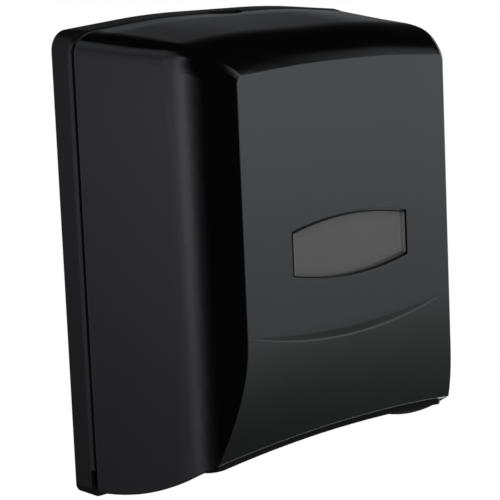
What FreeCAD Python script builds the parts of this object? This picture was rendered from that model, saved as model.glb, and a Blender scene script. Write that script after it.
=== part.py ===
import FreeCAD, Part
import math
import os

# Wall-mounted folded towel dispenser: a shallow back plate, a deep front cover
# that tips forward on two pins at the bottom, and a tray that the towels are
# pulled through. Millimetres. The wall is the plane y = 0 and the front faces
# -Y, so depths below are distances from the wall. x = 0 is the middle, and
# z = 0 is the centre of the four wall screws.

V = FreeCAD.Vector
ALONG_X = V(1, 0, 0)
ALONG_Y = V(0, 1, 0)
ALONG_Z = V(0, 0, 1)

# Outer form
wall_half_width = 134.0
rim_height = 144.3
base_bottom = -145.8
front_depth = 115.2
side_draft = 0.203
top_draft = 0.139
ridge_half_width = 55.0
ridge_blend = 25.0
ridge_stations = 16
ridge_slope = 0.086
ridge_crown = 1.2
ridge_slope_loss = 0.024
side_bend_depth = 84.0
top_bend_depth = 77.0
face_half_width = 95.0
face_drop = 31.2
corner_radius = 12.5
face_corner_radius = 4.5
corner_sharpen_depth = 100.0
smallest_corner = 1.0
corner_stretch = 8.0
stretch_full_depth = 14.0
stretch_fade_depth = 54.0
stretch_end_depth = 92.0
bend_stations = 12

# Walls, seam and running clearances
wall = 2.5
plate = 2.5
seam_depth = 16.0
seam_gap = 0.8
rim_bevel_depth = 4.0
rim_bevel = 0.3
rim_chamfer_depth = 1.4
rim_land = 0.3
base_corner_radius = 6.0
base_dip = 2.0
tongue_gap = 0.4
tongue_wall = 1.6
tongue_reach = 5.0
tongue_root = 7.0
tongue_end_gap = 2.5
slack = 0.3
screw_slack = 0.05

# Front face: it rolls back towards the bottom, with a shallow scoop above
roll_top = -45.0
roll_radius = 200.0
scoop_half_width = 96.5
scoop_end_z = -43.2
scoop_upper_sag = 7.3
scoop_lower_sag = 13.4
scoop_deepest = 0.45

# Lower edge of the cover, seen from the side
edge_low_z = -143.8
edge_curve_depth = 22.0
edge_curve_radius = 130.0
edge_slope = 0.53
edge_arch = 4.5
edge_arch_half = 108.0
edge_corner = 2.6

# Viewing window
window_half_width = 54.0
window_half_side = 14.2
window_sag = 5.6
window_gap = 0.9
window_sunk = 0.15
window_rim = 0.7
window_pocket = 3.5
window_floor = 1.5
window_flange = 6.0
window_flange_thick = 1.5
window_corner = 0.8
retainer_margin = 14.0
retainer_thick = 1.8
window_screw_x = 64.0
window_screw_z = 8.0

# Hinge at the bottom corners
hinge_depth = 22.0
hinge_z = -137.5
hinge_notch_top = -130.5
hinge_notch_depth = 12.0
base_notch_inner = 100.0
pin_radius = 2.0
pin_bore_gap = 0.06
pin_seat_gap = 0.03
lug_inset = 11.5
lug_thick = 4.0
lug_radius = 5.4
ear_gap = 0.4
ear_radius = 5.2
ear_wall = 1.2
pin_head_radius = 3.3
pin_head_thick = 1.6
opening_angle = 90.0

# Towel tray
tray_side_gap = 1.5
tray_wall = 2.2
tray_floor = 2.5
tray_front_inset = 17.7
tray_front_corner = 11.0
tray_back_depth = 7.7
tray_pin_gap = 1.4
tray_step_depth = 32.0
tray_curve_radius = 20.0
tray_slope = 0.33
lip_half_width = 112.0
lip_drop = 5.6
tray_top_z = -104.0
tray_seat_gap = 0.2

# Dispensing slot and its lining
slot_half_width = 82.0
slot_near_depth = 40.0
slot_far_depth = 70.0
throat_gap = 0.3
throat_wall = 3.0
throat_flange = 6.0
throat_flange_thick = 1.6
throat_inset = 0.3
throat_seat_gap = 0.1

# Towel guides
guide_side_room = 22.0
guide_thick = 2.0
guide_flange_width = 14.0
guide_bottom_z = -102.0
guide_top_z = 30.0
guide_front_depth = 82.0
guide_corner = 16.0
guide_screw_inset = 14.0

# Screws and bosses
boss_radius = 5.0
boss_height = 5.0
screw_radius = 1.3
screw_head_radius = 2.9
screw_head_thick = 1.8
screw_bite = 5.2
screw_hole_radius = 1.7
small_screw_radius = 1.1
small_head_radius = 2.1
small_head_thick = 1.3
small_bite = 2.6
small_boss_radius = 3.2
tray_screw_z = -122.0
tray_inner_screw_x = 35.0
tray_outer_screw_x = 90.0

# Wall fixing
wall_hole_x = 90.0
wall_hole_z = 95.0
wall_hole_radius = 2.6
wall_boss_radius = 7.0
wall_boss_height = 2.0

# Back plate ribs
rib_thick = 1.6
rib_height = 2.5
rib_x = 60.0
rib_low_z = -104.0
rib_high_z = 84.0

# Sliding latch at the top
tab_left = -10.0
tab_right = 10.0
latch_travel = 8.0
tab_back_depth = 9.2
tab_front_depth = 14.8
tab_drop = 2.4
tab_gap = 0.8
recess_half_width = 17.5
recess_depth = 5.5
thumb_reach = 6.0
thumb_slope = 0.83
thumb_lift = 3.0
slider_left = -22.0
slider_right = 12.0
slider_back_depth = 5.6
slider_front_depth = 13.2
slider_bottom_drop = 26.3
slider_top_drop = 5.0
arm_left = -16.0
arm_right = -6.0
arm_low_drop = 23.8
arm_high_drop = 20.0
nose_back_depth = 30.2
nose_front_depth = 34.4
nose_top_drop = 13.4
housing_wall = 2.2
housing_top_drop = 11.3
housing_ear = 10.0
housing_ear_height = 12.0
housing_screw_inset = 5.0

# Catch on the cover
catch_pad_drop = 11.3
catch_pad_half = 17.0
catch_back_depth = 27.0
catch_front_depth = 46.0
catch_thick = 1.5
catch_lip_thick = 2.5
catch_lip_left = -4.5
catch_lip_right = 9.5
catch_lip_drop = 18.8
catch_screw_x = 10.5
catch_screw_depth = 41.0
catch_bite = 3.4

far_out = 200.0


def at(x, depth, z):
    """A point given by its distance from the wall instead of its y."""
    return V(x, -depth, z)


def block(x0, x1, depth0, depth1, z0, z1):
    return Part.makeBox(x1 - x0, depth1 - depth0, z1 - z0, at(x0, depth1, z0))


def rod(radius, start, direction, length):
    return Part.makeCylinder(radius, length, start, direction)


def prism(edges, direction):
    """A closed flat outline, pushed along a direction into a solid."""
    return Part.Face(Part.Wire(Part.__sortEdges__(edges))).extrude(direction)


def line(a, b):
    return Part.makeLine(a, b)


def arc(a, middle, b):
    return Part.Arc(a, middle, b).toShape()


def mirrored(shape):
    return shape.mirror(V(0, 0, 0), ALONG_X)


class Bend:
    """A drafted wall that turns through an arc to reach the front face."""

    def __init__(self, start_value, slope, bend_depth, end_value):
        self.start_value = start_value
        self.slope = slope
        self.angle = math.atan(slope)
        bend_value = start_value - slope * bend_depth
        run = front_depth - bend_depth
        fall = bend_value - end_value
        across = fall * math.cos(self.angle) - run * math.sin(self.angle)
        self.radius = (run ** 2 + fall ** 2) / (2 * across)
        self.centre_depth = bend_depth - self.radius * math.sin(self.angle)
        self.centre_value = bend_value - self.radius * math.cos(self.angle)

    def turn(self, inset):
        """Depth at which the straight wall gives way to the arc."""
        return self.centre_depth + (self.radius - inset) * math.sin(self.angle)

    def value(self, depth, inset):
        if depth <= self.turn(inset):
            return self.start_value - self.slope * depth - inset / math.cos(self.angle)
        reach = depth - self.centre_depth
        return self.centre_value + math.sqrt((self.radius - inset) ** 2 - reach ** 2)


side = Bend(wall_half_width, side_draft, side_bend_depth, face_half_width)
top = Bend(rim_height, top_draft, top_bend_depth, rim_height - face_drop)


def corner_at(depth, inset):
    """Radius between a side and the top; it sharpens towards the front face."""
    share = (depth - corner_sharpen_depth) / (front_depth - corner_sharpen_depth)
    share = min(max(share, 0.0), 1.0)
    radius = corner_radius + (face_corner_radius - corner_radius) * share ** 2
    return max(radius - inset, smallest_corner)


def stretch_at(depth):
    """How much further a corner reaches along the top than down the side."""
    grown = min(depth / stretch_full_depth, 1.0)
    left = (stretch_end_depth - depth) / (stretch_end_depth - stretch_fade_depth)
    return corner_stretch * grown * min(max(left, 0.0), 1.0)


def crown_at(depth):
    """How far the flat ridge has turned into a low arch: 0 to 1."""
    share = (depth - top_bend_depth) / (front_depth - top_bend_depth)
    return min(max(share, 0.0), 1.0) ** 2


def ridge_line(depth, ridge, slope, crown):
    """The low ridge from right to left: nearly flat, turning smoothly into its slopes."""
    reach = ridge_half_width + ridge_blend
    points = []
    for k in range(ridge_stations + 1):
        x = reach * (1 - 2 * k / ridge_stations)
        turned = max(abs(x) - ridge_half_width + ridge_blend, 0.0)
        arch = crown * (1 - (x / reach) ** 2) ** 2
        points.append(at(x, depth, ridge + arch - slope * turned ** 2 / (4 * ridge_blend)))
    curve = Part.BSplineCurve()
    curve.interpolate(Points=points, InitialTangent=V(-1, 0, slope), FinalTangent=V(-1, 0, -slope))
    return curve.toShape()


def corner_curve(a, peak, b, weight):
    """A rounded corner that leaves a and meets b on the way to their peak."""
    curve = Part.BSplineCurve()
    curve.buildFromPolesMultsKnots([a, peak, b], [3, 3], [0, 1], False, 2, [1, weight, 1])
    return curve.toShape()


def section(depth, inset, bottom_z, extra=0.0):
    """Outline across the body at one depth, with rounded corners and a low ridge."""
    half = side.value(depth, inset) - extra
    crown = ridge_crown * crown_at(depth)
    slope = ridge_slope - ridge_slope_loss * crown_at(depth)
    ridge = top.value(depth, inset) - extra - crown
    radius = corner_at(depth, inset + extra)
    tilt = math.atan(slope)
    middle = (math.pi / 2 - tilt) / 2
    down = radius * math.tan(middle)
    along = down + stretch_at(depth)
    peak = at(half, depth, ridge - slope * (half - ridge_half_width))
    foot = base_corner_radius - inset
    foot_x, foot_z = half - foot, bottom_z + foot
    slant = math.sqrt(0.5)
    points = [
        at(foot_x, depth, bottom_z),
        at(half, depth, foot_z),
        peak - V(0, 0, down),
        peak + V(-along * math.cos(tilt), 0, along * math.sin(tilt)),
        at(ridge_half_width + ridge_blend, depth, ridge - slope * ridge_blend),
    ]
    heel = at(foot_x + foot * slant, depth, foot_z - foot * slant)
    left = [V(-p.x, p.y, p.z) for p in points]
    left_peak = V(-peak.x, peak.y, peak.z)
    edges = [
        line(left[0], points[0]),
        arc(points[0], heel, points[1]),
        line(points[1], points[2]),
        corner_curve(points[2], peak, points[3], math.cos(middle)),
        line(points[3], points[4]),
        ridge_line(depth, ridge, slope, crown),
        line(left[4], left[3]),
        corner_curve(left[3], left_peak, left[2], math.cos(middle)),
        line(left[2], left[1]),
        arc(left[1], V(-heel.x, heel.y, heel.z), left[0]),
    ]
    return Part.Wire(edges)


def straight_form(inset, near, far, bottom_z):
    """The body between two depths where its walls are still straight."""
    turns = [d for d in (stretch_full_depth, stretch_fade_depth) if near < d < far]
    wires = [section(d, inset, bottom_z) for d in [near] + turns + [far]]
    return Part.makeLoft(wires, True, True)


def full_form(inset, near, bottom_z):
    """The body from one depth to its front face: straight walls, then the bend."""
    last = front_depth - inset
    turn = top.turn(inset)
    bend_depths = [turn + (last - turn) * k / bend_stations for k in range(bend_stations + 1)]
    bend = Part.makeLoft([section(d, inset, bottom_z) for d in bend_depths], True, False)
    return straight_form(inset, near, turn, bottom_z).fuse(bend)


def roll_off(inset):
    """What lies in front of the face where it rolls back towards the bottom."""
    centre = V(0, -front_depth + roll_radius, roll_top)
    radius = roll_radius - inset
    sweep = math.asin((roll_top + far_out) / radius)

    def on_roll(angle):
        return V(-far_out, centre.y - radius * math.cos(angle), centre.z - radius * math.sin(angle))

    start, middle, end = on_roll(0), on_roll(sweep / 2), on_roll(sweep)
    out_low = V(-far_out, -far_out, end.z)
    out_high = V(-far_out, -far_out, start.z)
    edges = [arc(start, middle, end), line(end, out_low), line(out_low, out_high), line(out_high, start)]
    return prism(edges, V(2 * far_out, 0, 0))


class LowerEdge:
    """A lower edge seen from the side: flat, then an arc, then a straight rise."""

    def __init__(self, low_z, start_depth, radius, slope):
        self.low_z = low_z
        self.start_depth = start_depth
        self.radius = radius
        self.angle = math.atan(slope)
        self.slope = slope
        self.turn_depth = start_depth + radius * math.sin(self.angle)
        self.turn_z = low_z + radius * (1 - math.cos(self.angle))

    def on_arc(self, share):
        angle = self.angle * share
        depth = self.start_depth + self.radius * math.sin(angle)
        return V(-far_out, -depth, self.low_z + self.radius * (1 - math.cos(angle)))

    def z(self, depth):
        if depth <= self.start_depth:
            return self.low_z
        if depth >= self.turn_depth:
            return self.turn_z + self.slope * (depth - self.turn_depth)
        reach = depth - self.start_depth
        return self.low_z + self.radius - math.sqrt(self.radius ** 2 - reach ** 2)

    def below(self, lift=0.0):
        """Everything under the edge, raised by lift."""
        up = V(0, 0, lift)
        end = V(-far_out, -far_out, self.z(far_out))
        first = V(-far_out, far_out, self.low_z)
        start, middle, turn = self.on_arc(0), self.on_arc(0.5), self.on_arc(1)
        deep_front = V(-far_out, -far_out, -far_out)
        deep_back = V(-far_out, far_out, -far_out)
        edges = [
            line(first + up, start + up),
            arc(start + up, middle + up, turn + up),
            line(turn + up, end + up),
            line(end + up, deep_front),
            line(deep_front, deep_back),
            line(deep_back, first + up),
        ]
        return prism(edges, V(2 * far_out, 0, 0))

    def arch(self, half, rise):
        """A shallow arch under the straight rise, for the front stretch."""
        drop = 0.5
        start = V(0, -self.turn_depth, self.turn_z)
        a = start + V(-half, 0, 0)
        b = start + V(half, 0, 0)
        crown = start + V(0, 0, rise)
        under = V(0, 0, -drop)
        edges = [arc(a, crown, b), line(b, b + under), line(b + under, a + under), line(a + under, a)]
        reach = far_out - self.turn_depth
        return prism(edges, V(0, -reach, reach * self.slope))


cover_edge = LowerEdge(edge_low_z, edge_curve_depth, edge_curve_radius, edge_slope)
# Places that follow the outer walls; the tray rests on the back plate's lower wall
lug_inner_x = side.value(hinge_depth, wall) - lug_inset
tray_front_depth = front_depth - tray_front_inset
tray_low_z = base_bottom + wall + tray_seat_gap
tray_edge = LowerEdge(tray_low_z, edge_curve_depth, tray_curve_radius, tray_slope)


def rear_corner():
    """What a rounded lower rear corner takes off the cover, across its width."""
    depth, z = seam_front(), edge_low_z
    slant = edge_corner * (1 - math.sqrt(0.5))
    a = V(-far_out, -depth, z + edge_corner)
    m = V(-far_out, -depth - slant, z + slant)
    b = V(-far_out, -depth - edge_corner, z)
    out = V(0, edge_corner, -edge_corner)
    edges = [arc(a, m, b), line(b, b + out), line(b + out, a + out), line(a + out, a)]
    return prism(edges, V(2 * far_out, 0, 0))


def window_outline(margin, depth):
    """The window's shape: upright ends, arched top and bottom."""
    half = window_half_width + margin
    end = window_half_side + margin
    rise = window_half_side + window_sag + margin
    a, b = at(-half, depth, end), at(half, depth, end)
    c, d = at(half, depth, -end), at(-half, depth, -end)
    return [
        arc(a, at(0, depth, rise), b),
        line(b, c),
        arc(c, at(0, depth, -rise), d),
        line(d, a),
    ]


def window_prism(margin, near, far):
    return prism(window_outline(margin, far), V(0, far - near, 0))


def rounded_uprights(shape, radius):
    """Rounds the edges of a plate that run straight along its thickness."""
    edges = []
    for edge in shape.Edges:
        a, b = edge.Vertexes[0].Point, edge.Vertexes[-1].Point
        if abs(a.x - b.x) < 1e-6 and abs(a.z - b.z) < 1e-6 and abs(a.y - b.y) > 1e-6:
            edges.append(edge)
    return shape.makeFillet(radius, edges)


def both_sides(points):
    return [V(sign * p.x, p.y, p.z) for p in points for sign in (-1, 1)]


# Heights that hang from the top rim
tab_top_z = rim_height - tab_drop
slider_bottom_z = rim_height - slider_bottom_drop
slider_top_z = rim_height - slider_top_drop
arm_low_z = rim_height - arm_low_drop
arm_high_z = rim_height - arm_high_drop
nose_top_z = rim_height - nose_top_drop
housing_top_z = rim_height - housing_top_drop
catch_pad_z = rim_height - catch_pad_drop
catch_lip_z = rim_height - catch_lip_drop

# Places that more than one piece shares
boss_face = plate + boss_height
guide_outer_x = wall_half_width - guide_side_room
tray_rear_half_width = lug_inner_x - pin_head_thick - tray_pin_gap
tray_screw_places = both_sides(
    [at(x, 0, tray_screw_z) for x in (tray_inner_screw_x, tray_outer_screw_x)]
)
guide_screw_x = guide_outer_x - guide_flange_width / 2
guide_screw_places = both_sides([
    at(guide_screw_x, 0, guide_bottom_z + guide_screw_inset),
    at(guide_screw_x, 0, guide_top_z - guide_screw_inset),
])
housing_left = slider_left - housing_wall - 2 * slack
housing_right = slider_right + latch_travel + housing_wall + 2 * slack
latch_screw_z = slider_bottom_z - housing_wall - slack - housing_screw_inset
latch_screw_places = [
    at(housing_left + housing_screw_inset, 0, latch_screw_z),
    at(housing_right - housing_screw_inset, 0, latch_screw_z),
]
wall_hole_places = [
    at(x, 0, z) for x in (-wall_hole_x, wall_hole_x) for z in (-wall_hole_z, wall_hole_z)
]
window_screw_places = both_sides(
    [at(window_screw_x, 0, window_screw_z), at(window_screw_x, 0, -window_screw_z)]
)
flange_back = front_depth - wall - window_flange_thick


def seam_front():
    return seam_depth + seam_gap / 2


def seam_back():
    return seam_depth - seam_gap / 2


def latch_slot(gap):
    """The opening in the rim that the latch's thumb tab slides along."""
    return block(tab_left - gap, tab_right + latch_travel + gap,
                 tab_back_depth - gap, seam_depth, slider_top_z - wall, rim_height + 1)


def recess():
    """The crescent in the cover's rear edge that a thumb reaches into."""
    near = seam_front() - 1
    far = seam_front() + recess_depth
    low = catch_pad_z + 1
    a, b = at(-recess_half_width, near, low), at(recess_half_width, near, low)
    edges = [arc(a, at(0, far, low), b), line(b, a)]
    return prism(edges, V(0, 0, rim_height + 1 - low))


def thumb_hollow():
    """The slope in the rim and the latch's tab that leads a thumb to the recess."""
    rim_z = top.value(seam_front(), 0)
    back_by = thumb_lift / thumb_slope
    near, z = seam_front() - back_by, rim_z + thumb_lift
    a, b = at(-recess_half_width, near, z), at(recess_half_width, near, z)
    edges = [arc(a, at(0, near - thumb_reach, z), b), line(b, a)]
    run = back_by + thumb_reach
    return prism(edges, V(0, -run, -run * thumb_slope))


def back_plate():
    back = seam_back()
    foot_z = base_bottom - base_dip
    wires = [
        section(0, 0, base_bottom),
        section(back - rim_bevel_depth, 0, foot_z),
        section(back - rim_chamfer_depth, 0, foot_z + rim_bevel, rim_bevel),
        section(back, 0, foot_z + wall - rim_land, wall - rim_land),
    ]
    body = Part.makeLoft(wires, True, True)
    hollow = straight_form(wall, plate, back + 1, base_bottom + wall)
    body = body.cut(hollow)

    # Tongue that the cover's edge closes over, left open at the hinges and the latch
    root = back - tongue_root
    tip = back + tongue_reach
    outer = straight_form(wall + tongue_gap, root, tip, base_bottom + wall)
    link = straight_form(wall - slack, root, back - rim_bevel_depth, base_bottom + wall)
    inner = straight_form(wall + tongue_gap + tongue_wall, root - 1, tip + 1, base_bottom - 1)
    open_low = block(-far_out, far_out, 0, far_out, -far_out, hinge_notch_top + tongue_end_gap)
    latch_bay = block(housing_left - 1, housing_right + 1, 0, far_out, 0, far_out)
    body = body.fuse(outer.fuse(link).cut([inner, open_low, latch_bay]))

    # Room for the cover's lower corners to swing into
    for sign in (-1, 1):
        notch = block(lug_inner_x + lug_thick + ear_gap, far_out, hinge_notch_depth, far_out,
                      -far_out, hinge_notch_top)
        notch = notch.fuse(block(base_notch_inner, far_out, hinge_notch_depth, far_out,
                                 -far_out, base_bottom + wall))
        body = body.cut(notch if sign > 0 else mirrored(notch))

    # Hinge lugs
    lug = hinge_lug()
    body = body.fuse([lug, mirrored(lug)])
    bore = rod(pin_radius + pin_seat_gap, at(-far_out, hinge_depth, hinge_z), ALONG_X, 2 * far_out)
    body = body.cut(bore.common(block(-lug_inner_x - lug_thick - 1, lug_inner_x + lug_thick + 1,
                                      0, far_out, -far_out, far_out)))

    # Ribs, bosses and screw holes
    for x in (-rib_x, 0, rib_x):
        body = body.fuse(block(x - rib_thick / 2, x + rib_thick / 2, plate - slack,
                               plate + rib_height, rib_low_z, rib_high_z))
    for place in tray_screw_places + guide_screw_places + latch_screw_places:
        body = body.fuse(rod(boss_radius, place + V(0, -plate + slack, 0), -ALONG_Y,
                             boss_height + slack))
    for place in wall_hole_places:
        body = body.fuse(rod(wall_boss_radius, place + V(0, -plate + slack, 0), -ALONG_Y,
                             wall_boss_height + slack))
    for place in tray_screw_places + guide_screw_places + latch_screw_places:
        body = body.cut(rod(screw_radius + screw_slack, place + V(0, -boss_face - 1, 0), ALONG_Y,
                            screw_bite + 1 + slack))
    for place in wall_hole_places:
        body = body.cut(rod(wall_hole_radius, place + V(0, 1, 0), -ALONG_Y, boss_face + 2))

    return body.cut(latch_slot(tab_gap)).cut(thumb_hollow()).removeSplitter()


def hinge_lug():
    """A cheek on the back plate that carries one hinge pin."""
    x = lug_inner_x
    low, high = hinge_z - lug_radius, hinge_z + lug_radius
    nose = rod(lug_radius, at(x, hinge_depth, hinge_z), ALONG_X, lug_thick)
    stem = block(x, x + lug_thick, plate - slack, hinge_depth, low, high)
    return nose.fuse(stem)


def cover_ear():
    """The socket in a cover corner that turns on a hinge pin."""
    inner_x = lug_inner_x + lug_thick + ear_gap
    wall_x = side.value(hinge_depth, wall)
    ear = rod(ear_radius, at(inner_x, hinge_depth, hinge_z), ALONG_X, wall_x + wall / 2 - inner_x)
    return ear


def ear_bore():
    inner_x = lug_inner_x + lug_thick + ear_gap
    return rod(pin_radius + pin_bore_gap, at(inner_x - 1, hinge_depth, hinge_z), ALONG_X,
               pin_end_x() + slack - inner_x + 1)


def pin_end_x():
    return side.value(hinge_depth, wall) - ear_wall


def scoop():
    """A shallow lens across the face: it sinks slowly, then steps back out."""
    lens = []
    stations = 12
    for k in range(stations + 1):
        across = math.sin(math.pi * (k / stations - 0.5))
        x = scoop_half_width * across
        fade = max(1 - across ** 2, 0.004)
        upper = scoop_end_z - scoop_upper_sag * fade
        lower = scoop_end_z - scoop_lower_sag * fade
        ahead = 1.0
        deep_z = lower + (upper - lower) * 0.12
        surface = roll_surface_depth(lower)
        points = [
            at(x, front_depth, upper),
            at(x, front_depth + ahead, upper),
            at(x, surface + ahead, lower),
            at(x, surface, lower),
            at(x, surface - scoop_deepest * fade, deep_z),
        ]
        lens.append(Part.makePolygon(points + [points[0]]))
    return Part.makeLoft(lens, True, False)


def roll_surface_depth(z):
    """Depth of the outer face at a height below the top of the roll."""
    fall = max(roll_top - z, 0.0)
    return front_depth - roll_radius + math.sqrt(roll_radius ** 2 - fall ** 2)


def front_cover():
    start = seam_front()
    skin = full_form(0, start, -far_out).cut(roll_off(0))
    hollow = full_form(wall, start - 2, -far_out - 1).cut(roll_off(wall))

    # Pad under the top wall for the catch, and bosses for the window's frame
    pad = block(-catch_pad_half, catch_pad_half, catch_back_depth, catch_front_depth,
                catch_pad_z, rim_height)
    hollow = hollow.cut(pad)
    ear = cover_ear()
    hollow = hollow.cut(Part.makeCompound([ear, mirrored(ear)]))
    for place in window_screw_places:
        boss = rod(small_boss_radius, place + V(0, -flange_back, 0), -ALONG_Y,
                   window_flange_thick + slack)
        hollow = hollow.cut(boss)
    body = skin.cut(hollow)

    body = body.cut(cover_edge.below())
    body = body.cut(rear_corner())
    body = body.cut(cover_edge.arch(edge_arch_half, edge_arch))
    body = body.cut(window_prism(0, front_depth - 3 * wall, front_depth + 1))
    body = body.cut(scoop())
    body = body.cut(recess())
    bore = ear_bore()
    body = body.cut(Part.makeCompound([bore, mirrored(bore)]))
    for place in window_screw_places:
        body = body.cut(rod(small_screw_radius + screw_slack, place + V(0, -flange_back + 1, 0),
                            -ALONG_Y, small_bite + slack + 1))
    for x in (-catch_screw_x, catch_screw_x):
        body = body.cut(rod(screw_radius + screw_slack,
                            at(x, catch_screw_depth, catch_pad_z - 1), ALONG_Z,
                            catch_bite + 1 + slack))
    return body


def viewing_window():
    front = front_depth - window_sunk
    floor = front_depth - window_pocket
    plug = rounded_uprights(window_prism(-window_gap, floor - window_floor, front), window_corner)
    pocket = window_prism(-window_gap - window_rim, floor, front + 1)
    plug = plug.cut(rounded_uprights(pocket, window_corner))
    flange = window_prism(window_flange, flange_back, flange_back + window_flange_thick)
    for place in window_screw_places:
        flange = flange.cut(rod(small_boss_radius + slack, place + V(0, -flange_back + 1, 0),
                                -ALONG_Y, 2 * wall))
    return plug.fuse(flange).removeSplitter()


def window_retainer():
    """A frame inside the cover that holds the window against its opening."""
    near = flange_back - retainer_thick
    ring = window_prism(retainer_margin, near, flange_back)
    ring = ring.cut(window_prism(slack - window_gap, near - 1, flange_back + 1))
    for place in window_screw_places:
        ring = ring.cut(rod(small_screw_radius + slack, place + V(0, -near + 1, 0), -ALONG_Y,
                            2 * wall))
    return ring


def window_screws():
    near = flange_back - retainer_thick
    solids = []
    for place in window_screw_places:
        seat = place + V(0, -near, 0)
        head = rod(small_head_radius, seat, ALONG_Y, small_head_thick)
        shank = rod(small_screw_radius, seat, -ALONG_Y, retainer_thick + small_bite)
        solids.append(head.fuse(shank))
    return Part.makeCompound(solids)


def tray_plan(inset, top_z):
    """The tray's plan, pushed up to a height: the cover's inside, less a gap."""
    tall = straight_plan(wall + tray_side_gap + inset, top_z)
    front = block(-far_out, far_out, 0, tray_front_depth - inset, -far_out, top_z)
    body = tall.common(front)
    waist = block(tray_rear_half_width - inset, far_out, -1, tray_step_depth + inset,
                  -far_out, top_z + 1)
    body = body.cut(Part.makeCompound([waist, mirrored(waist)]))
    back = block(-far_out, far_out, -far_out, tray_back_depth + inset, -far_out, far_out)
    return body.cut(back)


def straight_plan(inset, top_z):
    """The body's plan outline as an upright prism."""
    last = front_depth - inset
    radius = side.radius - inset
    turn = side.centre_depth + radius * math.sin(side.angle)
    sweep = math.asin((last - side.centre_depth) / radius)
    middle = (side.angle + sweep) / 2
    low = -far_out

    def on_arc(angle):
        return at(side.centre_value + radius * math.cos(angle),
                  side.centre_depth + radius * math.sin(angle), low)

    a = at(side.value(0, inset), 0, low)
    b = at(side.value(turn, inset), turn, low)
    c = on_arc(sweep)
    m = on_arc(middle)
    flip = [V(-p.x, p.y, p.z) for p in (a, b, m, c)]
    edges = [
        line(flip[0], a), line(a, b), arc(b, m, c), line(c, flip[3]),
        arc(flip[3], flip[2], flip[1]), line(flip[1], flip[0]),
    ]
    return prism(edges, V(0, 0, top_z - low))


def upright_edges(shape, depth):
    """Edges that run straight up, at one depth."""
    found = []
    for edge in shape.Edges:
        a, b = edge.Vertexes[0].Point, edge.Vertexes[-1].Point
        flat = abs(a.x - b.x) < 1e-6 and abs(a.y - b.y) < 1e-6
        if flat and abs(a.z - b.z) > 1 and abs(a.y + depth) < 1e-3:
            found.append(edge)
    return found


def bottom_tray():
    shell = tray_plan(0, tray_top_z)
    shell = shell.makeFillet(tray_front_corner, upright_edges(shell, tray_front_depth))
    inside = tray_plan(tray_wall, tray_top_z + 1)
    inside = inside.makeFillet(tray_front_corner - tray_wall,
                               upright_edges(inside, tray_front_depth - tray_wall))
    skirt = lip_skirt().cut(inside)
    shell = shell.cut(tray_edge.below().cut(skirt))
    body = shell.cut(inside.cut(tray_edge.below(tray_floor)))
    body = body.cut(slot_prism(throat_gap + throat_wall))
    for place in tray_screw_places:
        body = body.cut(rod(screw_hole_radius, place + V(0, -tray_back_depth + 1, 0), -ALONG_Y,
                            tray_wall + 2))
    return body


def lip_skirt():
    """Where the walls hang under the floor, with an arched edge, until the floor meets it."""
    level = tray_edge.z(tray_front_depth)
    near = tray_front_depth - lip_drop / tray_slope
    a, b = at(-lip_half_width, near, level - lip_drop), at(lip_half_width, near, level - lip_drop)
    up = V(0, 0, lip_drop)
    edges = [arc(a, at(0, near, level), b), line(b, b + up), line(b + up, a + up), line(a + up, a)]
    return prism(edges, V(0, near - front_depth, 0))


def slot_prism(margin):
    """The slot that a towel is pulled through, with rounded ends."""
    near = slot_near_depth - margin
    far = slot_far_depth + margin
    radius = (far - near) / 2
    middle = (far + near) / 2
    straight = slot_half_width + margin - radius
    low = -far_out
    a, b = at(-straight, near, low), at(straight, near, low)
    c, d = at(straight, far, low), at(-straight, far, low)
    edges = [
        line(a, b), arc(b, at(straight + radius, middle, low), c),
        line(c, d), arc(d, at(-straight - radius, middle, low), a),
    ]
    return prism(edges, V(0, 0, 2 * far_out))


def dispensing_throat():
    """A smooth lining for the slot, dropped into the tray from inside."""
    above_floor = tray_edge.below(tray_floor + throat_seat_gap)
    flange_top = tray_edge.below(tray_floor + throat_seat_gap + throat_flange_thick)
    flange = slot_prism(throat_wall + throat_flange).common(flange_top).cut(above_floor)
    neck = slot_prism(throat_wall).common(flange_top).cut(tray_edge.below(throat_inset))
    ring = neck.fuse(flange)
    return ring.cut(slot_prism(0)).removeSplitter()


def screws(places, seat_depth):
    """Pan-head screws driven towards the wall, with their heads at one depth."""
    solids = []
    for place in places:
        seat = place + V(0, -seat_depth, 0)
        head = rod(screw_head_radius, seat, -ALONG_Y, screw_head_thick)
        shank = rod(screw_radius, seat, ALONG_Y, seat_depth - boss_face + screw_bite)
        solids.append(head.fuse(shank))
    return Part.makeCompound(solids)


def towel_guide():
    """The right-hand cheek that keeps the stack of towels square."""
    near = boss_face
    inner_x = guide_outer_x - guide_thick
    low, high = guide_bottom_z, guide_top_z
    cheek = block(inner_x, guide_outer_x, near, guide_front_depth, low, high)
    edges = []
    for edge in cheek.Edges:
        a, b = edge.Vertexes[0].Point, edge.Vertexes[-1].Point
        along = abs(a.y - b.y) < 1e-6 and abs(a.z - b.z) < 1e-6
        if along and abs(a.y + guide_front_depth) < 1e-6:
            edges.append(edge)
    cheek = cheek.makeFillet(guide_corner, edges)
    flange = block(guide_outer_x - guide_flange_width, guide_outer_x, near, near + guide_thick,
                   low, high)
    body = cheek.fuse(flange)
    for place in guide_screw_places:
        body = body.cut(rod(screw_hole_radius, place + V(0, -near + 1, 0), -ALONG_Y,
                            guide_thick + 2))
    return body.removeSplitter()


def hinge_pin():
    head = rod(pin_head_radius, at(lug_inner_x - pin_head_thick, hinge_depth, hinge_z), ALONG_X,
               pin_head_thick)
    shank = rod(pin_radius, at(lug_inner_x - pin_head_thick, hinge_depth, hinge_z), ALONG_X,
                pin_end_x() - lug_inner_x + pin_head_thick)
    return head.fuse(shank)


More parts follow.
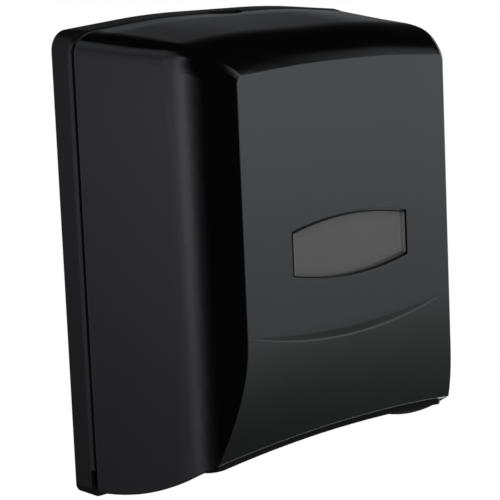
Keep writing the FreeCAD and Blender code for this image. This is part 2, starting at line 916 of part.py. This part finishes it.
def latch_slider():
    """Thumb tab, block, and an arm whose nose hooks in front of the catch."""
    body = block(slider_left, slider_right, slider_back_depth, slider_front_depth,
                 slider_bottom_z, slider_top_z)
    tab = block(tab_left, tab_right, tab_back_depth, tab_front_depth,
                slider_top_z - wall, tab_top_z)
    groove = (tab_right - tab_left) / 6.0
    for k in range(1, 6):
        x = tab_left + k * groove
        tab = tab.cut(block(x - groove / 6, x + groove / 6, tab_back_depth, tab_front_depth,
                            tab_top_z - slack, tab_top_z + 1))
    arm = block(arm_left, arm_right, slider_front_depth - 1, nose_front_depth,
                arm_low_z, arm_high_z)
    slope = nose_front_depth - nose_back_depth
    a = at(arm_left, nose_back_depth, arm_high_z - 1)
    b = at(arm_left, nose_front_depth, arm_high_z - 1)
    c = at(arm_left, nose_front_depth, arm_high_z)
    d = at(arm_left, nose_front_depth - slope / 2, nose_top_z)
    e = at(arm_left, nose_back_depth, nose_top_z)
    nose = prism([line(a, b), line(b, c), line(c, d), line(d, e), line(e, a)],
                 V(arm_right - arm_left, 0, 0))
    return body.fuse([tab.cut(thumb_hollow()), arm, nose]).removeSplitter()


def latch_housing():
    """The channel that the slider runs in, screwed to the back plate."""
    near = slider_back_depth - slack - housing_wall
    far = slider_front_depth + slack + housing_wall
    floor_top = slider_bottom_z - slack
    low = floor_top - housing_wall
    shell = block(housing_left, housing_right, near, far, low, housing_top_z)
    channel = block(housing_left + housing_wall, housing_right - housing_wall,
                    near + housing_wall, far - housing_wall, floor_top, housing_top_z + 1)
    gate = block(arm_left - 2 * slack, arm_right + latch_travel + 2 * slack,
                 far - housing_wall - 1, far + 1, arm_low_z - slack, arm_high_z + slack)
    # The gate is open upwards so that the nose can be dropped in
    gate = gate.fuse(block(arm_left - 2 * slack, arm_right + latch_travel + 2 * slack,
                           far - housing_wall - 1, far + 1, arm_high_z, housing_top_z + 1))
    ears = block(housing_left, housing_right, boss_face, boss_face + housing_wall,
                 low - housing_ear, low + housing_wall)
    gap = block(housing_left + housing_ear, housing_right - housing_ear,
                boss_face - 1, boss_face + housing_wall + 1, low - housing_ear - 1, low)
    body = shell.cut(channel).cut(gate).fuse(ears.cut(gap))
    for place in latch_screw_places:
        body = body.cut(rod(screw_hole_radius, place + V(0, -boss_face + 1, 0), -ALONG_Y,
                            housing_wall + 2))
    return body.removeSplitter()


def cover_catch():
    """A small bracket under the cover's top, with a lip for the latch's nose."""
    plate_part = block(-catch_pad_half + 1, catch_pad_half - 1, catch_back_depth,
                       catch_front_depth - 1, catch_pad_z - catch_thick, catch_pad_z)
    lip = block(catch_lip_left, catch_lip_right, catch_back_depth,
                catch_back_depth + catch_lip_thick, catch_lip_z, catch_pad_z)
    body = plate_part.fuse(lip)
    for x in (-catch_screw_x, catch_screw_x):
        body = body.cut(rod(screw_hole_radius, at(x, catch_screw_depth, catch_pad_z - wall),
                            ALONG_Z, 2 * wall))
    return body.removeSplitter()


def catch_screws():
    solids = []
    for x in (-catch_screw_x, catch_screw_x):
        seat = at(x, catch_screw_depth, catch_pad_z - catch_thick)
        head = rod(screw_head_radius, seat, -ALONG_Z, screw_head_thick)
        shank = rod(screw_radius, seat, ALONG_Z, catch_thick + catch_bite)
        solids.append(head.fuse(shank))
    return Part.makeCompound(solids)


def build():
    guide = towel_guide()
    pin = hinge_pin()
    return {
        "back_plate": back_plate(),
        "front_cover": front_cover(),
        "viewing_window": viewing_window(),
        "window_retainer": window_retainer(),
        "window_screws": window_screws(),
        "bottom_tray": bottom_tray(),
        "dispensing_throat": dispensing_throat(),
        "tray_screws": screws(tray_screw_places, tray_back_depth + tray_wall),
        "left_towel_guide": mirrored(guide),
        "right_towel_guide": guide,
        "guide_screws": screws(guide_screw_places, boss_face + guide_thick),
        "left_hinge_pin": mirrored(pin),
        "right_hinge_pin": pin,
        "latch_housing": latch_housing(),
        "latch_slider": latch_slider(),
        "latch_screws": screws(latch_screw_places, boss_face + housing_wall),
        "cover_catch": cover_catch(),
        "catch_screws": catch_screws(),
    }


os.makedirs("parts", exist_ok=True)
for name, shape in build().items():
    shape.exportStep("parts/" + name + ".step")
    print(name, len(shape.Solids), "solids", round(shape.Volume), "mm3", shape.isValid())
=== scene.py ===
import bmesh
import bpy
import math
from mathutils import Matrix, Vector


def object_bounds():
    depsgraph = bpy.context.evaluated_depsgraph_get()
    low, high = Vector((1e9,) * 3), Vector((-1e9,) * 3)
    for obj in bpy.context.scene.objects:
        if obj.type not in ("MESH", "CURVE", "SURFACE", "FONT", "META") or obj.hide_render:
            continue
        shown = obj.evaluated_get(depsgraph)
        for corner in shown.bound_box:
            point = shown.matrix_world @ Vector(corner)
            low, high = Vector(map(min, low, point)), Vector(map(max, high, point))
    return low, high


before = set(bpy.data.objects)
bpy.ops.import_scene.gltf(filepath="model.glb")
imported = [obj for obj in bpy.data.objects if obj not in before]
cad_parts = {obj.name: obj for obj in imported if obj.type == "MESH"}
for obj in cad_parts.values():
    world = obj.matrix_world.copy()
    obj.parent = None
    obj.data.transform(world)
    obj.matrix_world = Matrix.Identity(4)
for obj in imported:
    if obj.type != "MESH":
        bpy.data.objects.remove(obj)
cad_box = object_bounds()

# Metres. The wall is the plane y = 0, the front faces -Y, and z = 0 is the
# centre of the four wall screws.

# Camera
camera_place = Vector((-0.9209, -0.9126, 0.1822))
camera_turn = math.radians(-46.171)
camera_height_angle = math.radians(8.585)
camera_roll = math.radians(-2.477)
camera_near = 0.05
photo_width = 500
focal_pixels = 2000
sensor_width = 36.0

# Floor
floor_below = 0.36
floor_radius = 3.0
floor_sides = 96
floor_fade = (0.8, 1.1)
floor_colour = (0.9, 0.9, 0.9, 1)
white = (1, 1, 1, 1)

# Every plastic: the scales of its noises, and how much they lift the surface.
# The flow marks are the grain's noise, stretched.
patch_scale = 18.0
smudge_scale = 70.0
smudge_range = (0.3, 0.7)
grain_strength = 0.35
flow_stretch = 25.0
flow_strength = 0.06
flow_rise = 8
refraction = 1.5

# Steel
tarnish_scale = 220.0
mark_scale = 4200.0
mark_strength = 0.2
mark_height = 0.00002

# Edges and top of the body. A slope says where an effect begins and where it is
# full, as the part of the surface's direction along one axis.
edge_softness = 0.0009
edge_samples = 6
top_slope = (0.85, 0.97)
front_slope = (-0.9, -0.97)
roll_depths = (0.0155, 0.030)
roll_height = 0.0006
cut_roughness = 0.9

# Window
window_half_length = 0.05
window_rim_depth = 0.1148
rim_blend = 0.0001
wall_slope = (0.6, 0.8)
# Painted light: the window's floor is painted paler by its ends, and its end walls, which
# face the middle, are painted lighter
painted_light_end_span = (0.0486, 0.0500)
painted_light_floor_end = (0.105, 0.103, 0.101)
painted_light_end_walls = (0.20, 0.197, 0.194)
# Painted shade: the window's lower wall, which faces up, is painted as dark as the floor
# against the light from above
painted_shade_lower_wall = (0.045, 0.044, 0.043)
dull_rim = (0.003,) * 3

# Light
part_middle = Vector((0.0, -0.06, 0.0))
fill_level = 0.75
lamp_direction = Vector((0.3, -0.6, 1.0))
lamp_distance = 1.6
lamp_size = 1.2
lamp_power = 12
tent_radius = 4.0
tent_segments = 96
tent_rings = 48

# Tints of the tent's cloth, and where they blend: side to front along X, and
# low to high in degrees of height
side_tint = (0.955, 0.968, 1.077)
front_tint = (0.966, 0.995, 1.039)
low_tint = (0.968, 1.022, 1.010)
side_blend = (-0.6, 0.0)
low_blend = (-20, -10)

# Panels of the tent: the way each faces, in degrees from +X towards +Y, then its
# brightness across, by degrees from that way, and up, by degrees of height
panels = [
    (172, ((-80, 0.0), (-66, 0.32), (-45, 0.42), (-34, 0.36), (-20, 0.29), (-12, 0.54),
           (-6, 0.8), (0, 1.0), (5, 0.9), (10, 0.61), (14, 0.37), (20, 0.14), (26, 0.05),
           (32, 0.0)),
          ((-60, 0.05), (-30, 0.22), (-16, 0.72), (-13, 0.86), (-10, 1.08), (-7, 1.25),
           (-3, 1.5), (3, 1.15), (45, 1.1), (60, 1.1), (66, 0.4), (71, 0.0))),
    (-42, ((-30, 0.0), (-18, 1.08), (-3, 1.1), (3, 0.92), (18, 0.9), (24, 0.3), (28, 0.0)),
          ((-50, 0.05), (-37, 0.16), (-32, 0.24), (-28, 0.29), (-24, 0.39), (-20, 0.49),
           (-16, 0.6), (-11, 0.76), (-7, 1.0), (-3, 1.22), (50, 1.3), (65, 0.0))),
    (-12, ((-16, 0.0), (-8, 0.4), (0, 0.34), (6, 0.32), (10, 0.2), (14, 0.0)),
          ((16, 0.0), (24, 1.0), (39, 1.0), (44, 0.4), (48, 0.0))),
    (-80, ((-18, 0.0), (-10, 0.85), (12, 1.0), (20, 0.0)),
          ((-60, 0.05), (-30, 0.3), (-10, 0.7), (5, 0.9), (40, 0.8), (60, 0.0))),
    (12, ((-22, 0.0), (-12, 0.6), (10, 0.6), (18, 0.0)),
         ((-30, 0.0), (-20, 0.8), (8, 1.0), (17, 0.0))),
    (95, ((-28, 0.0), (-15, 0.6), (15, 0.6), (28, 0.0)),
         ((-25, 0.0), (-12, 0.7), (0, 1.0), (25, 1.0), (38, 0.0))),
    (42, ((-70, 0.0), (-40, 0.15), (-12, 0.2), (-7, 0.35), (-4, 0.65), (0, 1.0), (4, 1.5),
          (8, 1.8), (40, 1.8), (70, 0.0)),
         ((-20, 0.05), (-9, 0.3), (-4, 0.6), (0, 0.4), (3, 0.2), (8, 0.15), (12, 0.08),
          (16, 0.068), (20, 0.06), (24, 0.036), (28, 0.019), (34, 0.005), (38, 0.0))),
    (6, ((-24, 0.0), (-14, 1.0), (24, 1.0), (36, 0.0)),
        ((-80, 0.9), (-60, 1.2), (-30, 1.1), (-20, 0.0))),
]


class Nodes:
    """Builds one node tree: each call adds a node."""

    def __init__(self, tree):
        self.tree = tree
        tree.nodes.clear()

    def put(self, socket, value):
        if isinstance(value, bpy.types.NodeSocket):
            self.tree.links.new(value, socket)
        else:
            socket.default_value = value

    def add(self, kind, inputs=None, **settings):
        node = self.tree.nodes.new("ShaderNode" + kind)
        for name, value in settings.items():
            setattr(node, name, value)
        for name, value in (inputs or {}).items():
            self.put(node.inputs[name], value)
        return node

    def output(self, shader, kind="OutputMaterial"):
        self.add(kind, {"Surface": shader.outputs[0]})

    def place(self):
        return self.add("TexCoord").outputs["Object"]

    def parts(self, vector):
        """The X, Y and Z of a vector."""
        return self.add("SeparateXYZ", {0: vector}).outputs

    def noise(self, place, scale, detail=2.0, roughness=0.5):
        inputs = {"Vector": place, "Scale": scale, "Detail": detail, "Roughness": roughness}
        return self.add("TexNoise", inputs).outputs["Fac"]

    def span(self, value, low, high, to_low=0.0, to_high=1.0, smooth=False):
        inputs = {
            "Value": value, "From Min": low, "From Max": high,
            "To Min": to_low, "To Max": to_high,
        }
        kind = "SMOOTHSTEP" if smooth else "LINEAR"
        return self.add("MapRange", inputs, interpolation_type=kind).outputs["Result"]

    def math(self, operation, *values):
        return self.add("Math", dict(enumerate(values)), operation=operation).outputs[0]

    def times(self, a, b):
        return self.math("MULTIPLY", a, b)

    def larger(self, a, b):
        return self.math("MAXIMUM", a, b)

    def degrees(self, angle):
        return self.math("DEGREES", angle)

    def turn_from(self, x, y, facing):
        """Angle of (x, y) from the way that is faced, without a jump near it."""
        ahead = self.math("ADD", self.times(x, math.cos(facing)),
                          self.times(y, math.sin(facing)))
        aside = self.math("SUBTRACT", self.times(y, math.cos(facing)),
                          self.times(x, math.sin(facing)))
        return self.math("ARCTAN2", aside, ahead)

    def profile(self, value, stops):
        """Straight runs through (place, level) pairs, level beyond both ends."""
        result = stops[0][1]
        for (a, level_a), (b, level_b) in zip(stops, stops[1:]):
            step = self.span(value, a, b, 0.0, level_b - level_a)
            result = self.math("ADD", step, result)
        return result

    def shades(self, value, dark, light):
        """A colour between two, each given as three numbers or as a socket."""
        node = self.add("Mix", {"Factor": value}, data_type="RGBA")
        for socket, colour in ((node.inputs[6], dark), (node.inputs[7], light)):
            self.put(socket, (*colour, 1) if isinstance(colour, tuple) else colour)
        return node.outputs[2]

    def blend(self, value, first, second):
        """A shader between two."""
        mix = self.add("MixShader", {"Fac": value})
        self.put(mix.inputs[1], first.outputs[0])
        self.put(mix.inputs[2], second.outputs[0])
        return mix

    def softened(self):
        """The surface's direction, with its sharp edges turned over a small radius."""
        bevel = self.add("Bevel", {"Radius": edge_softness}, samples=edge_samples)
        return bevel.outputs["Normal"]

    def bump(self, height, strength, distance, normal=None):
        inputs = {"Height": height, "Strength": strength, "Distance": distance}
        if normal is not None:
            inputs["Normal"] = normal
        return self.add("Bump", inputs).outputs["Normal"]


def new_material(name):
    material = bpy.data.materials.new(name)
    material.use_nodes = True
    return material, Nodes(material.node_tree)


def new_object(name, data):
    thing = bpy.data.objects.new(name, data)
    bpy.context.scene.collection.objects.link(thing)
    return thing


def window_tones_and_painted_light(nodes, colour, roughness, across, along, facing):
    """The window's floor is painted paler by its ends, and the walls there, which face the
    middle, are painted lighter: painted light. The upward-facing lower wall is painted
    dark:
    painted shade. The face of its rim is dark and dull."""
    # Painted light: the floor is painted paler by the window's ends
    end = nodes.span(nodes.math("ABSOLUTE", across), *painted_light_end_span)
    colour = nodes.shades(end, colour, painted_light_floor_end)
    # Painted light: the end walls, which face the middle, are painted lighter
    inward = nodes.times(nodes.times(across, -1 / window_half_length), facing[0])
    colour = nodes.shades(nodes.span(inward, *wall_slope), colour, painted_light_end_walls)
    # Painted shade: the upward-facing lower wall is painted dark
    colour = nodes.shades(nodes.span(facing[2], *wall_slope), colour, painted_shade_lower_wall)
    rim = nodes.span(along, -window_rim_depth, -window_rim_depth - rim_blend)
    colour = nodes.shades(rim, colour, dull_rim)
    return colour, nodes.span(rim, 0, 1, roughness, 1.0)


def rolled(nodes, along, upward, normal):
    """The top rolls over slightly towards its rear edge."""
    rear, front = roll_depths
    rise = nodes.span(along, -rear, -front, -roll_height, 0.0, smooth=True)
    return nodes.bump(nodes.times(rise, upward), strength=1.0, distance=1.0, normal=normal)


def plastic(name, dark, light, rough, grain, specular=0.5, top_roughness=None,
            window=False, rolled_rear=False, soft_edges=False):
    """Moulded plastic: faint uneven colour and gloss, and the grain of its mould.

    The grain is given by its scale and its height."""
    grain_scale, grain_height = grain
    material, nodes = new_material(name)
    place = nodes.place()
    across, along, _ = nodes.parts(place)
    facing = nodes.parts(nodes.add("TexCoord").outputs["Normal"])
    upward = nodes.span(facing[2], *top_slope)
    patches = nodes.noise(place, patch_scale, detail=3.0)
    smudge = nodes.noise(place, smudge_scale, detail=5.0, roughness=0.6)
    fine = nodes.noise(place, grain_scale)
    flow = nodes.noise(place, grain_scale / flow_stretch, detail=1.0)
    colour = nodes.shades(patches, dark, light)
    roughness = nodes.span(smudge, *smudge_range, *rough)
    # The window gets painted light on its ends and painted shade on its lower wall
    if window:
        colour, roughness = window_tones_and_painted_light(nodes, colour, roughness, across, along, facing)
    if top_roughness is not None:
        # Duller on top, and dullest where it is cut off square to the front
        roughness = nodes.span(upward, 0, 1, roughness, top_roughness)
        forward = nodes.span(facing[1], *front_slope)
        roughness = nodes.span(forward, 0, 1, roughness, cut_roughness)
    normal = nodes.softened() if soft_edges else None
    if rolled_rear:
        normal = rolled(nodes, along, upward, normal)
    normal = nodes.bump(fine, grain_strength, grain_height, normal)
    normal = nodes.bump(flow, flow_strength, grain_height * flow_rise, normal)
    nodes.output(nodes.add("BsdfPrincipled", {
        "Base Color": colour,
        "Roughness": roughness,
        "Normal": normal,
        "IOR": refraction,
        "Specular IOR Level": specular,
    }))
    return material


def steel(name, dark, light, rough):
    """Bright steel with fine turning marks and a little tarnish."""
    material, nodes = new_material(name)
    place = nodes.place()
    tarnish = nodes.noise(place, tarnish_scale, detail=4.0, roughness=0.6)
    marks = nodes.noise(place, mark_scale)
    nodes.output(nodes.add("BsdfPrincipled", {
        "Base Color": nodes.shades(tarnish, dark, light),
        "Metallic": 1.0,
        "Roughness": nodes.span(tarnish, *smudge_range, *rough),
        "Normal": nodes.bump(marks, mark_strength, mark_height),
    }))
    return material


def give_materials():
    # Each solid starts with no material, so that none is left by accident
    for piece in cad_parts.values():
        piece.data.materials.clear()
    gloss = plastic("gloss_black_plastic", (0.001,) * 3, (0.002,) * 3,
                    rough=(0.10, 0.15), grain=(2600.0, 0.000004),
                    rolled_rear=True, soft_edges=True)
    satin = plastic("satin_black_plastic", (0.003,) * 3, (0.005,) * 3,
                    rough=(0.15, 0.21), grain=(3200.0, 0.00001),
                    specular=0.26, top_roughness=0.32, soft_edges=True)
    smoked = plastic("smoked_window_plastic", (0.043, 0.042, 0.041), (0.050, 0.049, 0.048),
                     rough=(0.16, 0.24), grain=(2400.0, 0.000006), window=True)
    inner = plastic("inner_black_plastic", (0.012,) * 3, (0.017,) * 3,
                    rough=(0.42, 0.55), grain=(2600.0, 0.00002))
    grey = plastic("throat_grey_plastic", (0.10, 0.102, 0.105), (0.12, 0.122, 0.125),
                   rough=(0.28, 0.38), grain=(2800.0, 0.00001))
    latch = plastic("latch_black_plastic", (0.003,) * 3, (0.005,) * 3,
                    rough=(0.5, 0.62), grain=(3000.0, 0.00001), specular=0.12)
    screw = steel("screw_steel", (0.42, 0.42, 0.41), (0.58, 0.58, 0.57), rough=(0.22, 0.36))
    pin = steel("pin_steel", (0.50, 0.50, 0.50), (0.62, 0.62, 0.61), rough=(0.16, 0.26))
    catch = steel("catch_steel", (0.44, 0.45, 0.46), (0.56, 0.57, 0.58), rough=(0.26, 0.4))
    for material, names in (
        (gloss, ["front_cover"]),
        (satin, ["back_plate", "bottom_tray"]),
        (smoked, ["viewing_window"]),
        (inner, ["window_retainer", "left_towel_guide", "right_towel_guide",
                 "latch_housing"]),
        (grey, ["dispensing_throat"]),
        (latch, ["latch_slider"]),
        (screw, ["window_screws", "tray_screws", "guide_screws", "latch_screws",
                 "catch_screws"]),
        (pin, ["left_hinge_pin", "right_hinge_pin"]),
        (catch, ["cover_catch"]),
    ):
        for name in names:
            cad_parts[name].data.materials.append(material)


def make_camera():
    back = Vector((
        math.sin(camera_turn) * math.cos(camera_height_angle),
        -math.cos(camera_turn) * math.cos(camera_height_angle),
        math.sin(camera_height_angle),
    ))
    right = (-back).cross(Vector((0, 0, 1))).normalized()
    up = right.cross(-back)
    turned_right = right * math.cos(camera_roll) + up * math.sin(camera_roll)
    turned_up = up * math.cos(camera_roll) - right * math.sin(camera_roll)
    data = bpy.data.cameras.new("camera")
    data.sensor_width = sensor_width
    data.lens = focal_pixels * sensor_width / photo_width
    data.clip_start = camera_near
    camera = new_object("camera", data)
    axes = Matrix((turned_right, turned_up, back)).transposed().to_4x4()
    camera.matrix_world = Matrix.Translation(camera_place) @ axes
    bpy.context.scene.camera = camera


def new_mesh(name, operator, **settings):
    """A mesh of one of Blender's plain forms."""
    mesh = bpy.data.meshes.new(name)
    shape = bmesh.new()
    operator(shape, **settings)
    shape.to_mesh(mesh)
    shape.free()
    return mesh


def make_floor():
    """A pale round floor under the part, as pale as the background at its rim."""
    mesh = new_mesh("floor", bmesh.ops.create_circle, cap_ends=True,
                    segments=floor_sides, radius=floor_radius)
    floor = new_object("floor", mesh)
    floor.location = (0, 0, cad_box[0][2] - floor_below)
    floor.visible_glossy = False
    material, nodes = new_material("pale_floor")
    near = nodes.add("BsdfDiffuse", {"Color": floor_colour})
    far = nodes.add("Emission", {"Color": white, "Strength": 1.0})
    reach = nodes.add("VectorMath", {0: nodes.place()}, operation="LENGTH").outputs["Value"]
    nodes.output(nodes.blend(nodes.span(reach, *floor_fade), near, far))
    mesh.materials.append(material)


def make_world():
    """White where it is seen, plain and even where it only lights."""
    world = bpy.data.worlds.new("studio")
    bpy.context.scene.world = world
    world.use_nodes = True
    nodes = Nodes(world.node_tree)
    path = nodes.add("LightPath").outputs
    seen = nodes.larger(path["Is Camera Ray"], path["Is Glossy Ray"])
    seen = nodes.larger(seen, path["Is Transmission Ray"])
    fill = nodes.add("Background", {"Color": white, "Strength": fill_level})
    bright = nodes.add("Background", {"Color": white, "Strength": 1.0})
    nodes.output(nodes.blend(seen, fill, bright), "OutputWorld")


def make_tent():
    """A tent of dark cloth with lit panels, which only the gloss of the part shows."""
    mesh = new_mesh("tent", bmesh.ops.create_uvsphere, u_segments=tent_segments,
                    v_segments=tent_rings, radius=tent_radius)
    tent = new_object("tent", mesh)
    tent.location = part_middle
    for ray in ("camera", "diffuse", "transmission", "volume_scatter", "shadow"):
        setattr(tent, "visible_" + ray, False)
    material, nodes = new_material("tent_cloth")
    material.cycles.emission_sampling = "NONE"
    way = nodes.add("VectorMath", {0: nodes.place()}, operation="NORMALIZE").outputs[0]
    x, y, z = nodes.parts(way)
    height = nodes.degrees(nodes.math("ARCSINE", z))
    light = None
    for facing, turn_stops, height_stops in panels:
        turned = nodes.degrees(nodes.turn_from(x, y, math.radians(facing)))
        level = nodes.times(nodes.profile(turned, turn_stops),
                            nodes.profile(height, height_stops))
        light = level if light is None else nodes.larger(light, level)
    front = nodes.shades(nodes.span(height, *low_blend), low_tint, front_tint)
    tint = nodes.shades(nodes.span(x, *side_blend), side_tint, front)
    nodes.output(nodes.add("Emission", {"Color": tint, "Strength": light}))
    mesh.materials.append(material)


def make_lamp():
    """One soft lamp above the front, which the gloss doesn't mirror."""
    data = bpy.data.lights.new("top_softbox", "AREA")
    data.shape = "RECTANGLE"
    data.size = data.size_y = lamp_size
    data.energy = lamp_power
    lamp = new_object("top_softbox", data)
    away = lamp_direction.normalized()
    lamp.location = part_middle + away * lamp_distance
    lamp.rotation_euler = away.to_track_quat("Z", "Y").to_euler()
    lamp.visible_glossy = False


give_materials()
make_camera()
make_floor()
make_world()
make_tent()
make_lamp()

view = bpy.context.scene.view_settings
view.view_transform = "Standard"
